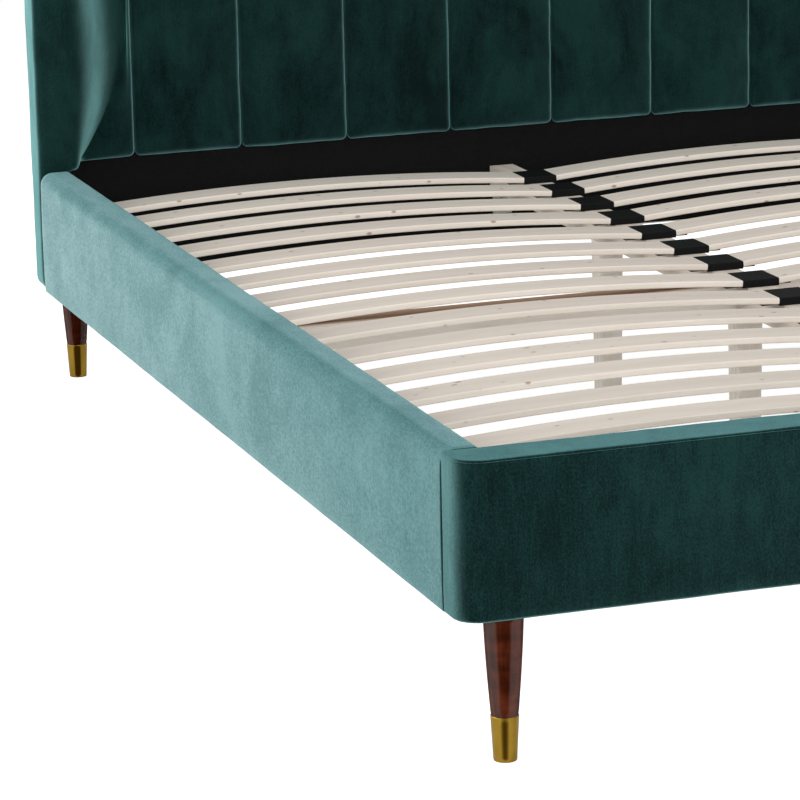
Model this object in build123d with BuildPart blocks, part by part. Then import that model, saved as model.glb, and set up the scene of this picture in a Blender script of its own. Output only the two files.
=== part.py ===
from build123d import *
from math import cos, radians, sin
import os

# Double bed with an upholstered winged headboard, padded side rails and footboard,
# two rows of sprung slats on a timber centre rail, and turned legs with brass ferrules.
# X runs across the bed, +Y points to the headboard and +Z is up. The floor is Z 0.

# Overall sizes
bed_width = 1744
rail_length = 2030
foot_depth = 64
head_depth = 190
head_height = 1120
leg_height = 190
rail_height = 205

# Side rails: a board in a padded sleeve
rail_thickness = 52
side_board_thickness = 25
top_padding = 13
under_wrap = 4
rail_outer_radius = 14
rail_inner_radius = 7
hem_radius = 3

# Footboard: a board in a padded sleeve with round ends
foot_board_thickness = 30
foot_corner_radius = 36
foot_top_radius = 6
foot_side_padding = 17

# Headboard depths, measured back from the face that the side rails meet
wing_straight_depth = 50
wing_flare = 35
wing_padding = 12
wing_board_thickness = 20
wing_board_setback = 30
wing_edge_radius = 13
wing_hem_radius = 20
wing_top_radius = 12
channel_crown_depth = 84
channel_edge_depth = 93
lining_depth = 100
lining_thickness = 3
panel_thickness = 9
back_padding = 18
back_corner_radius = 14
top_pad_height = 18

# Fold beside each wing, where its face falls back to a narrow channel and the first seam
fold_full_height = 660
fold_low_reach = 25
fold_full_reach = 63
fold_low_width = 26
fold_full_width = 118
fold_floor_depth = 88
fold_steps = 4
bend_steps = 3

# Vertical channels
channel_count = 9
channel_bottom = 393
channel_edge_radius = 7
channel_corner_radius = 11
channel_gap = 0.6

# Timber frame behind the panel
upright_width = 44
upright_inset_x = 89
batten_height = 60
batten_count = 5

# Slats and what carries them
slat_width = 63
slat_thickness = 10
slat_camber = 17.5
slat_seat = 325.6
slat_edge_bevel = 2
slat_rows = 15
first_slat_setback = 64.5
last_slat_setback = 88.1
slat_clearance = 0.3
cap_half_length = 30
cap_base = 2
cap_tongue_half_length = 54
cap_tongue_width = 43
cap_edge_radius = 1.2
peg_radius = 4
peg_length = 14
end_cap_length = 36
end_cap_wall = 2.5
end_cap_headroom = 3
ledge_width = 25
ledge_height = 30
ledge_end_gap = 12

# Centre rail, cross rails and posts
centre_rail_width = 44
centre_rail_height = 43
cross_rail_width = 38
cross_rail_offset = 40
post_pitch_share = 0.2803
post_top_width = 42
post_bottom_width = 36
post_edge = 2

# Legs and ferrules
leg_top_radius = 25.6
ferrule_height = 59
ferrule_top_radius = 18
ferrule_bottom_radius = 15
ferrule_wall = 1.2
ferrule_floor = 2
ferrule_edge_radius = 1.5
leg_belly = 0.8
leg_fit = 0.2
front_leg_inset_x = 68
front_leg_inset_y = 36
rear_leg_depth = 149

# Steel brackets and bolts
bracket_thickness = 3
bracket_height = 50
bracket_bottom = 235
bracket_arm = 75
bracket_flange = 55
bracket_bolt_inset = 25
rail_bracket_drop = 45
rail_bracket_length = 50
rail_bracket_width = 36
bolt_radius = 4
bolt_clearance = 0.3
bolt_length = 30
bolt_head_radius = 7.5
bolt_head_height = 5.5
leg_bolt_depth = 45
leg_bolt_rise = 48

# Shared clearance between pieces that would rub
fit = 0.3

# Places worked out from the sizes above
bed_length = foot_depth + rail_length + head_depth
foot_face = -bed_length / 2
foot_inner = foot_face + foot_depth
head_front = foot_inner + rail_length
head_back = head_front + head_depth
half_width = bed_width / 2
rail_top = leg_height + rail_height
rail_inner_x = half_width - rail_thickness
rail_middle_x = half_width - rail_thickness / 2
upright_x = half_width - upright_inset_x
board_bottom = leg_height + under_wrap
board_top = rail_top - top_padding
timber_depth = lining_depth + lining_thickness + panel_thickness
back_depth = head_depth - back_padding
timber_top = head_height - top_pad_height
channel_pitch = bed_width / channel_count
slat_pitch = (rail_length - first_slat_setback - last_slat_setback) / (slat_rows - 1)
cross_rail_y = (foot_inner + head_front) / 2 + cross_rail_offset
post_pitch = rail_length * post_pitch_share
slat_outer_x = rail_inner_x - end_cap_wall
slat_inner_x = cap_half_length + slat_clearance
slat_middle_x = (slat_outer_x + slat_inner_x) / 2
centre_rail_top = slat_seat - cap_base
centre_rail_bottom = centre_rail_top - centre_rail_height
ledge_top = slat_seat - end_cap_wall
ledge_bottom = ledge_top - ledge_height
cross_rail_top = ledge_top - fit
front_leg_x = half_width - front_leg_inset_x
front_leg_y = foot_face + front_leg_inset_y
rear_leg_y = head_front + rear_leg_depth
bracket_middle = bracket_bottom + bracket_height / 2
wing_slope_depth = head_depth - wing_straight_depth


def wing_outer_x(depth):
    """Half width of the headboard at a depth behind its front face."""
    return half_width - wing_flare * max(0, depth - wing_straight_depth) / wing_slope_depth


def wing_board_x(depth):
    """Outer face of the wing board, which runs straight inside the padding."""
    front_x = half_width - wing_padding
    back_x = wing_outer_x(back_depth) - wing_padding
    share = (depth - wing_board_setback) / (back_depth - wing_board_setback)
    return front_x + (back_x - front_x) * share


def wing_board_inner_x(depth):
    return wing_board_x(depth) - wing_board_thickness


def wing_board_corners(side):
    return [
        (side * wing_board_x(wing_board_setback), head_front + wing_board_setback),
        (side * wing_board_x(back_depth), head_front + back_depth),
        (side * wing_board_inner_x(back_depth), head_front + back_depth),
        (side * wing_board_inner_x(wing_board_setback), head_front + wing_board_setback),
    ]


def slat_y(row):
    return head_front - first_slat_setback - row * slat_pitch


slat_places = [slat_y(row) for row in range(slat_rows)]
post_places = {
    "head": cross_rail_y + post_pitch,
    "middle": cross_rail_y,
    "foot": cross_rail_y - post_pitch,
}
sides = {"left": -1, "right": 1}
leg_places = {
    "front_left": (-front_leg_x, front_leg_y),
    "front_right": (front_leg_x, front_leg_y),
    "rear_left": (-upright_x, rear_leg_y),
    "rear_right": (upright_x, rear_leg_y),
}
rail_bolt_places = [
    foot_inner + bracket_arm - bracket_bolt_inset,
    head_front - bracket_arm + bracket_bolt_inset,
]
flange_bolt_x = rail_inner_x - bracket_thickness - bracket_flange / 2
rail_bolt_z = centre_rail_bottom - rail_bracket_drop / 2
end_bolt_places = [
    (-flange_bolt_x, bracket_middle),
    (flange_bolt_x, bracket_middle),
    (0, rail_bolt_z),
]
pieces = {}


def keep(name, part):
    part.label = name
    pieces[name] = part


def bolt_hole_x(side, y, z, start_x, depth):
    """Clearance hole along X, from the inner face of a side rail outwards."""
    with Locations(Plane(origin=(side * start_x, y, z), x_dir=(0, 1, 0), z_dir=(side, 0, 0))):
        Cylinder(
            bolt_radius + bolt_clearance,
            depth,
            align=(Align.CENTER, Align.CENTER, Align.MIN),
            mode=Mode.SUBTRACT,
        )


def bolt_hole_y(x, start_y, z, direction, depth):
    """Clearance hole along Y."""
    with Locations(Plane(origin=(x, start_y, z), x_dir=(1, 0, 0), z_dir=(0, direction, 0))):
        Cylinder(
            bolt_radius + bolt_clearance,
            depth,
            align=(Align.CENTER, Align.CENTER, Align.MIN),
            mode=Mode.SUBTRACT,
        )


def leg_bolt_hole(x, y, bottom, height):
    with Locations((x, y, bottom)):
        Cylinder(
            bolt_radius + bolt_clearance,
            height,
            align=(Align.CENTER, Align.CENTER, Align.MIN),
            mode=Mode.SUBTRACT,
        )


def side_cover(side):
    """Padded sleeve round a side board, with the top edges rolled over."""
    with BuildPart() as cover:
        with BuildSketch(Plane.XZ.offset(-head_front)) as profile:
            with Locations((side * rail_middle_x, (leg_height + rail_top) / 2)):
                Rectangle(rail_thickness, rail_height)
            top = profile.vertices().group_by(Axis.Y)[-1].sort_by(Axis.X, reverse=side < 0)
            fillet(top[-1], rail_outer_radius)
            top = profile.vertices().group_by(Axis.Y)[-1].sort_by(Axis.X, reverse=side < 0)
            fillet(top[0], rail_inner_radius)
            fillet(profile.vertices().group_by(Axis.Y)[0], hem_radius)
            with Locations((side * rail_middle_x, (board_bottom + board_top) / 2)):
                Rectangle(side_board_thickness, board_top - board_bottom, mode=Mode.SUBTRACT)
        extrude(amount=rail_length)
        for y in rail_bolt_places:
            bolt_hole_x(side, y, bracket_middle, rail_inner_x, rail_thickness / 2)
    return cover.part


def side_board(side):
    """Board that carries the slat ledge and the brackets."""
    with BuildPart() as board:
        with BuildSketch(Plane.XZ.offset(-head_front)):
            with Locations((side * rail_middle_x, (board_bottom + board_top) / 2)):
                Rectangle(side_board_thickness, board_top - board_bottom)
        extrude(amount=rail_length)
        for y in rail_bolt_places:
            bolt_hole_x(side, y, bracket_middle, rail_inner_x, bolt_length)
    return board.part


def slat_ledge(side):
    """Batten along the inside of a side rail, parted where the cross rail meets the rail."""
    with BuildPart() as ledge:
        ledge_x = side * (rail_inner_x - ledge_width / 2)
        ledge_length = rail_length - 2 * ledge_end_gap
        with Locations((ledge_x, (foot_inner + head_front) / 2, (ledge_bottom + ledge_top) / 2)):
            Box(ledge_width, ledge_length, ledge_height)
        chamfer(ledge.edges().filter_by(Axis.Y).group_by(Axis.Z)[0], hem_radius)
        with Locations((ledge_x, cross_rail_y, (ledge_bottom + ledge_top) / 2)):
            Box(ledge_width, cross_rail_width + 2 * fit, ledge_height, mode=Mode.SUBTRACT)
    return ledge.part


def foot_cover():
    """Padded sleeve of the footboard: round front corners and a sewn top edge."""
    with BuildPart() as cover:
        with BuildSketch(Plane.XY.offset(leg_height)) as plan:
            with Locations((0, (foot_face + foot_inner) / 2)):
                Rectangle(bed_width, foot_depth)
            fillet(plan.vertices().group_by(Axis.Y)[0], foot_corner_radius)
        extrude(amount=rail_height)
        fillet(cover.faces().sort_by(Axis.Z)[-1].edges(), foot_top_radius)
        with Locations((0, (foot_face + foot_inner) / 2, (board_bottom + board_top) / 2)):
            Box(
                bed_width - 2 * foot_side_padding,
                foot_board_thickness,
                board_top - board_bottom,
                mode=Mode.SUBTRACT,
            )
        for x in (-front_leg_x, front_leg_x):
            leg_bolt_hole(x, front_leg_y, leg_height, 2 * under_wrap)
        for x, z in end_bolt_places:
            bolt_hole_y(x, foot_inner, z, -1, foot_depth / 2)
    return cover.part


def foot_board():
    with BuildPart() as board:
        with Locations((0, (foot_face + foot_inner) / 2, (board_bottom + board_top) / 2)):
            Box(bed_width - 2 * foot_side_padding, foot_board_thickness, board_top - board_bottom)
        for x in (-front_leg_x, front_leg_x):
            leg_bolt_hole(x, front_leg_y, board_bottom, leg_bolt_rise)
        for x, z in end_bolt_places:
            bolt_hole_y(x, foot_inner, z, -1, bolt_length)
    return board.part


def wing_board(side):
    """Board inside a wing, slanting in towards the back of the headboard."""
    with BuildPart() as board:
        with BuildSketch(Plane.XY.offset(leg_height + wing_padding)):
            with BuildLine():
                Polyline(wing_board_corners(side), close=True)
            make_face()
        extrude(amount=head_height - leg_height - 2 * wing_padding)
    return board.part


def fold_at(height):
    """Distances from the middle of the bed at which the fold starts and ends at a height."""
    share = min(1, (height - channel_bottom) / (fold_full_height - channel_bottom))
    reach = fold_low_reach + (fold_full_reach - fold_low_reach) * (1 - (1 - share) ** 2)
    width = fold_low_width + (fold_full_width - fold_low_width) * share
    return rail_inner_x - reach + width / 2, rail_inner_x - reach - width / 2


def fold_sections():
    """Heights of the fold's sections, each with the share by which its edges are rolled back."""
    low, high = [], []
    for step in range(bend_steps + 1):
        bend = radians(90 * step / bend_steps)
        rise = wing_top_radius * (1 - cos(bend))
        low.append((channel_bottom + rise, 1 - sin(bend)))
        high.append((head_height - rise, 1 - sin(bend)))
    climb = fold_full_height - low[-1][0]
    middle = [(low[-1][0] + climb * step / fold_steps, 0) for step in range(1, fold_steps + 1)]
    return low + middle + high[::-1]


def fold_outline(side, height, rolled):
    """Edge lines from a wing's face over the fold and along the narrow channel to the first seam."""
    start_x, end_x = fold_at(height)
    steep_x = (start_x + end_x) / 2
    face_y = head_front + wing_top_radius * rolled
    floor_y = head_front + fold_floor_depth + channel_edge_radius * rolled
    panel_front = head_front + lining_depth + lining_thickness
    seam_x = half_width - channel_pitch + channel_gap / 2 + channel_corner_radius * rolled
    lip = channel_edge_radius
    root = (side * rail_inner_x, face_y)
    lip_start = (side * (seam_x + lip), floor_y)
    lip_middle = (side * (seam_x + lip * (1 - sin(radians(45)))), floor_y + lip * (1 - cos(radians(45))))
    lip_end = (side * seam_x, floor_y + lip)
    Polyline(root, (side * start_x, face_y))
    Bezier(
        (side * start_x, face_y),
        (side * steep_x, face_y),
        (side * steep_x, floor_y),
        (side * end_x, floor_y),
    )
    Polyline((side * end_x, floor_y), lip_start)
    ThreePointArc(lip_start, lip_middle, lip_end)
    Polyline(lip_end, (side * seam_x, panel_front), (side * rail_inner_x, panel_front), root)


def wing_pad(side):
    """Padding of a wing: flat face, flared outer side, and the fold with the narrow channel beside it."""
    panel_front = lining_depth + lining_thickness
    outline = [
        (side * half_width, head_front),
        (side * half_width, head_front + wing_straight_depth),
        (side * wing_outer_x(back_depth), head_front + back_depth),
        (side * wing_board_inner_x(back_depth), head_front + back_depth),
        (side * wing_board_inner_x(panel_front), head_front + panel_front),
        (side * rail_inner_x, head_front + panel_front),
        (side * rail_inner_x, head_front),
    ]
    with BuildPart() as pad:
        with BuildSketch(Plane.XY.offset(leg_height)) as plan:
            with BuildLine():
                Polyline(outline, close=True)
            make_face()
            front = plan.vertices().group_by(Axis.Y)[0].sort_by(Axis.X, reverse=side < 0)
            fillet(front[-1], wing_edge_radius)
        extrude(amount=head_height - leg_height)
        outer = pad.faces().sort_by(Axis.X, reverse=side < 0)[-1]
        fillet(outer.edges().group_by(Axis.Z)[0], wing_hem_radius)
        top_edges = pad.faces().sort_by(Axis.Z)[-1].edges()
        rolled = top_edges.filter_by_position(Axis.Y, head_front - fit, head_front + wing_straight_depth)
        fillet([edge for edge in rolled if abs(edge.center().X) > rail_inner_x + fit], wing_top_radius)
        for height, rolled in fold_sections():
            with BuildSketch(Plane.XY.offset(height)):
                with BuildLine():
                    fold_outline(side, height, rolled)
                make_face()
        loft(ruled=True)
        with BuildSketch(Plane.XY.offset(leg_height + wing_padding)):
            with BuildLine():
                Polyline(wing_board_corners(side), close=True)
            make_face()
        extrude(amount=head_height - leg_height - 2 * wing_padding, mode=Mode.SUBTRACT)
    return pad.part


def channel_pad(index):
    """One vertical channel: a crowned pad with rolled edges and round lower corners."""
    left = -half_width + index * channel_pitch + channel_gap / 2
    right = left + channel_pitch - channel_gap
    panel_front = head_front + lining_depth + lining_thickness
    edge = head_front + channel_edge_depth
    crown = head_front + channel_crown_depth
    with BuildPart() as pad:
        with BuildSketch(Plane.XY.offset(channel_bottom)):
            with BuildLine():
                ThreePointArc((left, edge), ((left + right) / 2, crown), (right, edge))
                Polyline((right, edge), (right, panel_front), (left, panel_front), (left, edge))
            make_face()
        extrude(amount=head_height - channel_bottom)
        fillet(pad.edges().filter_by(Axis.Y).group_by(Axis.Z)[0], channel_corner_radius)
        front = pad.faces().sort_by(Axis.Y)[0]
        fillet(front.edges(), channel_edge_radius)
    return pad.part


def headboard_lining():
    """Dark cloth over the part of the panel below the channels."""
    with BuildPart() as lining:
        lining_y = head_front + lining_depth + lining_thickness / 2
        with Locations((0, lining_y, (board_bottom + channel_bottom) / 2)):
            Box(2 * (rail_inner_x - fit), lining_thickness, channel_bottom - board_bottom - fit)
        for x, z in end_bolt_places:
            bolt_hole_y(x, head_front + lining_depth, z, 1, lining_thickness)
    return lining.part


def headboard_panel():
    depth = lining_depth + lining_thickness + panel_thickness / 2
    half = wing_board_inner_x(timber_depth) - fit
    with BuildPart() as panel:
        with Locations((0, head_front + depth, (board_bottom + timber_top) / 2)):
            Box(2 * half, panel_thickness, timber_top - board_bottom)
        for x, z in end_bolt_places:
            bolt_hole_y(x, head_front + lining_depth, z, 1, lining_thickness + panel_thickness)
    return panel.part


def headboard_upright(side):
    """Post of the headboard frame, which stands on a rear leg."""
    upright_y = head_front + (timber_depth + back_depth) / 2
    with BuildPart() as upright:
        with Locations((side * upright_x, upright_y, (leg_height + timber_top) / 2)):
            Box(upright_width, back_depth - timber_depth, timber_top - leg_height)
        leg_bolt_hole(side * upright_x, rear_leg_y, leg_height, leg_bolt_rise)
        bolt_hole_y(side * flange_bolt_x, head_front + timber_depth, bracket_middle, 1, bolt_length)
    return upright.part


def headboard_battens():
    """Cross battens between the uprights, evenly spaced from bottom to top."""
    inner = upright_x - upright_width / 2
    step = (timber_top - leg_height - batten_height) / (batten_count - 1)
    with BuildPart() as battens:
        for row in range(batten_count):
            z = leg_height + batten_height / 2 + row * step
            with Locations((0, head_front + (timber_depth + back_depth) / 2, z)):
                Box(2 * inner, back_depth - timber_depth, batten_height)
        bolt_hole_y(0, head_front + timber_depth, rail_bolt_z, 1, bolt_length)
    return battens.part


def headboard_back():
    """Padded back of the headboard, rolled over the top down to the channels."""
    back_x = wing_outer_x(back_depth)
    with BuildPart() as back:
        with BuildSketch(Plane.XY.offset(leg_height)) as plan:
            with BuildLine():
                Polyline(
                    [
                        (-back_x, head_front + back_depth),
                        (back_x, head_front + back_depth),
                        (wing_outer_x(head_depth), head_back),
                        (-wing_outer_x(head_depth), head_back),
                    ],
                    close=True,
                )
            make_face()
            fillet(plan.vertices().group_by(Axis.Y)[-1], back_corner_radius)
        extrude(amount=head_height - leg_height)
        with BuildSketch(Plane.XY.offset(timber_top)):
            front = lining_depth + lining_thickness
            with BuildLine():
                Polyline(
                    [
                        (-(wing_board_inner_x(front) - fit), head_front + front),
                        (wing_board_inner_x(front) - fit, head_front + front),
                        (wing_board_inner_x(back_depth) - fit, head_front + back_depth),
                        (-(wing_board_inner_x(back_depth) - fit), head_front + back_depth),
                    ],
                    close=True,
                )
            make_face()
        extrude(amount=top_pad_height)
        top_edges = back.edges().group_by(Axis.Z)[-1].group_by(Axis.Y)[-1]
        fillet(top_edges, back_corner_radius / 2)
    return back.part


def slat_outline(side, grow):
    """Edge lines of a slat seen from the foot of the bed, grown evenly for a socket."""
    outer = side * (slat_outer_x + grow)
    inner = side * (slat_inner_x - grow)
    middle = side * slat_middle_x
    low = slat_seat - grow
    high = slat_seat + slat_thickness + grow
    bottom = ThreePointArc((outer, low), (middle, low + slat_camber), (inner, low))
    top = ThreePointArc((outer, high), (middle, high + slat_camber), (inner, high))
    Line(bottom @ 0, top @ 0)
    Line(bottom @ 1, top @ 1)


def slat_row(y):
    """A left and a right slat, each bent up into a shallow bow."""
    with BuildPart() as row:
        with BuildSketch(Plane.XZ.offset(-y)):
            for side in sides.values():
                with BuildLine():
                    slat_outline(side, 0)
                make_face()
        extrude(amount=slat_width / 2, both=True)
        chamfer(row.edges().filter_by(GeomType.CIRCLE), slat_edge_bevel)
    return row.part


def centre_caps():
    """Plastic caps that join each left slat to its right slat and peg into the centre rail."""
    with BuildPart() as caps:
        with Locations([(0, y, centre_rail_top) for y in slat_places]):
            Box(
                2 * cap_half_length,
                slat_width,
                cap_base + slat_thickness,
                align=(Align.CENTER, Align.CENTER, Align.MIN),
            )
        chamfer(caps.faces().filter_by(Axis.Z).group_by(Axis.Z)[-1].edges(), cap_edge_radius)
        with Locations([(0, y, centre_rail_top) for y in slat_places]):
            Box(
                2 * cap_tongue_half_length,
                cap_tongue_width,
                cap_base - fit,
                align=(Align.CENTER, Align.CENTER, Align.MIN),
            )
            Cylinder(peg_radius, peg_length, align=(Align.CENTER, Align.CENTER, Align.MAX))
    return caps.part


def end_caps():
    """Plastic sockets on the ledges that hold the outer ends of the slats."""
    cap_width = slat_width + 2 * (end_cap_wall + fit)
    cap_height = end_cap_wall + slat_thickness + end_cap_headroom + end_cap_wall
    with BuildPart() as caps:
        for side in sides.values():
            with Locations([(side * (rail_inner_x - end_cap_length / 2), y, ledge_top) for y in slat_places]):
                Box(end_cap_length, cap_width, cap_height, align=(Align.CENTER, Align.CENTER, Align.MIN))
        for y in slat_places:
            with BuildSketch(Plane.XZ.offset(-y)):
                for side in sides.values():
                    with BuildLine():
                        slat_outline(side, fit)
                    make_face()
            extrude(amount=slat_width / 2 + fit, both=True, mode=Mode.SUBTRACT)
    return caps.part


def centre_rail():
    """Rail down the middle of the bed, drilled for the pegs of the caps."""
    rail_end = head_front + lining_depth
    with BuildPart() as rail:
        with Locations((0, (foot_inner + rail_end) / 2, (centre_rail_bottom + centre_rail_top) / 2)):
            Box(centre_rail_width, rail_end - foot_inner, centre_rail_height)
        with Locations([(0, y, centre_rail_top) for y in slat_places]):
            Cylinder(
                peg_radius + fit,
                peg_length + fit,
                align=(Align.CENTER, Align.CENTER, Align.MAX),
                mode=Mode.SUBTRACT,
            )
    return rail.part


def cross_rail(side):
    """Rail from a side ledge to the centre rail."""
    outer = rail_inner_x
    inner = centre_rail_width / 2
    with BuildPart() as rail:
        with Locations((side * (outer + inner) / 2, cross_rail_y, (centre_rail_bottom + cross_rail_top) / 2)):
            Box(outer - inner, cross_rail_width, cross_rail_top - centre_rail_bottom)
    return rail.part


def centre_post(y):
    """Tapered square post under the centre rail."""
    with BuildPart() as post:
        for height, width in ((0, post_bottom_width), (centre_rail_bottom, post_top_width)):
            with BuildSketch(Plane.XY.offset(height)) as section:
                with Locations((0, y)):
                    Rectangle(width, width)
                chamfer(section.vertices(), post_edge)
        loft(ruled=True)
    return post.part


def leg(x, y):
    """Turned leg that swells slightly between the ferrule and the top, with a spigot in the ferrule."""
    spigot_top = ferrule_top_radius - ferrule_wall - leg_fit
    spigot_bottom = ferrule_bottom_radius - ferrule_wall - leg_fit
    with BuildPart() as turned:
        with BuildSketch(Plane(origin=(x, y, 0), x_dir=(1, 0, 0), z_dir=(0, -1, 0))):
            with BuildLine():
                low = (ferrule_top_radius, ferrule_height)
                high = (leg_top_radius, leg_height)
                belly = (
                    (ferrule_top_radius + leg_top_radius) / 2 + leg_belly,
                    (ferrule_height + leg_height) / 2,
                )
                ThreePointArc(low, belly, high)
                Polyline(high, (0, leg_height), (0, ferrule_floor + leg_fit))
                Polyline(
                    (0, ferrule_floor + leg_fit),
                    (spigot_bottom, ferrule_floor + leg_fit),
                    (spigot_top, ferrule_height),
                    low,
                )
            make_face()
        revolve(axis=Axis((x, y, 0), (0, 0, 1)))
        leg_bolt_hole(x, y, leg_height - leg_bolt_depth, leg_bolt_depth)
    return turned.part


def ferrule(x, y):
    """Brass cup on the foot of a leg."""
    with BuildPart() as cup:
        with BuildSketch(Plane(origin=(x, y, 0), x_dir=(1, 0, 0), z_dir=(0, -1, 0))):
            with BuildLine():
                Polyline(
                    [
                        (0, 0),
                        (ferrule_bottom_radius - ferrule_edge_radius, 0),
                        (ferrule_bottom_radius, ferrule_edge_radius),
                        (ferrule_top_radius, ferrule_height),
                        (ferrule_top_radius - ferrule_wall, ferrule_height),
                        (ferrule_bottom_radius - ferrule_wall, ferrule_floor),
                        (0, ferrule_floor),
                    ],
                    close=True,
                )
            make_face()
        revolve(axis=Axis((x, y, 0), (0, 0, 1)))
    return cup.part


def brackets():
    """Steel angles that tie the side rails to both ends, and two that carry the centre rail."""
    plate = bracket_thickness
    with BuildPart() as angles:
        for side in sides.values():
            face_x = side * (rail_inner_x - plate / 2)
            flange_x = side * (rail_inner_x - bracket_flange / 2)
            foot_arm_y = foot_inner + bracket_arm / 2
            head_arm_y = (head_front - bracket_arm + head_front + lining_depth) / 2
            with Locations((face_x, foot_arm_y, bracket_middle)):
                Box(plate, bracket_arm, bracket_height)
            with Locations((flange_x, foot_inner + plate / 2, bracket_middle)):
                Box(bracket_flange, plate, bracket_height)
            with Locations((face_x, head_arm_y, bracket_middle)):
                Box(plate, bracket_arm + lining_depth, bracket_height)
            with Locations((flange_x, head_front + lining_depth - plate / 2, bracket_middle)):
                Box(bracket_flange, plate, bracket_height)
            for y in rail_bolt_places:
                bolt_hole_x(side, y, bracket_middle, rail_inner_x - plate, plate)
            bolt_hole_y(side * flange_bolt_x, foot_inner + plate, bracket_middle, -1, plate)
            bolt_hole_y(side * flange_bolt_x, head_front + lining_depth - plate, bracket_middle, 1, plate)
        for end_y, inwards in ((foot_inner, 1), (head_front + lining_depth, -1)):
            with Locations((0, end_y + inwards * rail_bracket_length / 2, centre_rail_bottom - plate / 2)):
                Box(rail_bracket_width, rail_bracket_length, plate)
            with Locations((0, end_y + inwards * plate / 2, rail_bolt_z)):
                Box(rail_bracket_width, plate, rail_bracket_drop)
            bolt_hole_y(0, end_y + inwards * plate, rail_bolt_z, -inwards, plate)
    return angles.part


def bolt_at(origin, direction, x_dir):
    """Hexagon bolt whose head seats on a plate at the origin."""
    seat = Plane(origin=origin, x_dir=x_dir, z_dir=direction)
    with BuildSketch(seat) as head:
        RegularPolygon(bolt_head_radius, 6)
    extrude(head.sketch, amount=-bolt_head_height)
    with BuildSketch(seat) as shank:
        Circle(bolt_radius)
    extrude(shank.sketch, amount=bolt_length)


def bolts():
    """Bolts of the brackets, and the studs that join the legs to the boards above them."""
    plate = bracket_thickness
    with BuildPart() as fasteners:
        for side in sides.values():
            for y in rail_bolt_places:
                bolt_at((side * (rail_inner_x - plate), y, bracket_middle), (side, 0, 0), (0, 1, 0))
            x = side * flange_bolt_x
            bolt_at((x, foot_inner + plate, bracket_middle), (0, -1, 0), (1, 0, 0))
            bolt_at((x, head_front + lining_depth - plate, bracket_middle), (0, 1, 0), (1, 0, 0))
        bolt_at((0, foot_inner + plate, rail_bolt_z), (0, -1, 0), (1, 0, 0))
        bolt_at((0, head_front + lining_depth - plate, rail_bolt_z), (0, 1, 0), (1, 0, 0))
        for x, y in leg_places.values():
            with Locations((x, y, leg_height - leg_bolt_depth + fit)):
                Cylinder(
                    bolt_radius,
                    leg_bolt_depth + leg_bolt_rise - 2 * fit,
                    align=(Align.CENTER, Align.CENTER, Align.MIN),
                )
    return fasteners.part


for side_name, side in sides.items():
    keep(f"side_board_{side_name}", side_board(side))
    keep(f"side_cover_{side_name}", side_cover(side))
    keep(f"slat_ledge_{side_name}", slat_ledge(side))
    keep(f"cross_rail_{side_name}", cross_rail(side))
    keep(f"wing_board_{side_name}", wing_board(side))
    keep(f"wing_pad_{side_name}", wing_pad(side))
    keep(f"headboard_upright_{side_name}", headboard_upright(side))
keep("foot_board", foot_board())
keep("foot_cover", foot_cover())
keep("headboard_panel", headboard_panel())
keep("headboard_battens", headboard_battens())
keep("headboard_lining", headboard_lining())
keep("headboard_back", headboard_back())
for index in range(1, channel_count - 1):
    keep(f"channel_pad_{index}", channel_pad(index))
for row, y in enumerate(slat_places):
    keep(f"slat_row_{row + 1:02d}", slat_row(y))
keep("centre_caps", centre_caps())
keep("end_caps", end_caps())
keep("centre_rail", centre_rail())
for post_name, y in post_places.items():
    keep(f"centre_post_{post_name}", centre_post(y))
for leg_name, (x, y) in leg_places.items():
    keep(f"leg_{leg_name}", leg(x, y))
    keep(f"ferrule_{leg_name}", ferrule(x, y))
keep("brackets", brackets())
keep("bolts", bolts())

os.makedirs("parts", exist_ok=True)
for name, part in pieces.items():
    export_step(part, f"parts/{name}.step")
print(len(pieces), "nodes written")
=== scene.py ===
import math

import bmesh
import bpy
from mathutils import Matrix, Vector, noise


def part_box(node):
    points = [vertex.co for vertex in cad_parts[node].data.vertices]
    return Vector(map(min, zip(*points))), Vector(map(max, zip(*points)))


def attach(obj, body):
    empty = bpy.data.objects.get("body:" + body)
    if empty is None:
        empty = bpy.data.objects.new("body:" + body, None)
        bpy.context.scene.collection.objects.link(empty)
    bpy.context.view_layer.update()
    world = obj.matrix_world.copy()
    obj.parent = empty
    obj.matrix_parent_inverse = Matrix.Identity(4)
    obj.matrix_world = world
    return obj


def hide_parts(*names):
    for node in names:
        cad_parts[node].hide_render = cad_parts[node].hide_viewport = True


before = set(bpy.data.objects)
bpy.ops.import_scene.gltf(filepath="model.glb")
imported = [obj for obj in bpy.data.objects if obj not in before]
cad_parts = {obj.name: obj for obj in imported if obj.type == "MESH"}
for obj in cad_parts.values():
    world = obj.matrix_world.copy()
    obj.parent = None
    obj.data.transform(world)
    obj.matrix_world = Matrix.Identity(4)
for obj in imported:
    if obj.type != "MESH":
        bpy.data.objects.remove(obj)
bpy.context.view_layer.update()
print("frame loaded:", len(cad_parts), "nodes")

sides = {"left": -1, "right": 1}
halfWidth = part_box("foot_cover")[1].x
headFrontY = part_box("wing_pad_left")[0].y
railInnerX = -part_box("side_cover_left")[1].x


# mesh helpers

mergeGap = 0.00001
leastRadius = 0.0004
capRows = 5


def linkObject(name, data):
    item = bpy.data.objects.new(name, data)
    bpy.context.scene.collection.objects.link(item)
    return item


def facePiece(name, points, faces, sharpAngle=None):
    mesh = bpy.data.meshes.new(name)
    mesh.from_pydata(points, [], faces)
    work = bmesh.new()
    work.from_mesh(mesh)
    bmesh.ops.remove_doubles(work, verts=work.verts, dist=mergeGap)
    bmesh.ops.recalc_face_normals(work, faces=work.faces)
    work.to_mesh(mesh)
    work.free()
    mesh.shade_smooth()
    if sharpAngle:
        mesh.set_sharp_from_angle(angle=math.radians(sharpAngle))
    return linkObject(name, mesh)


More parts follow.
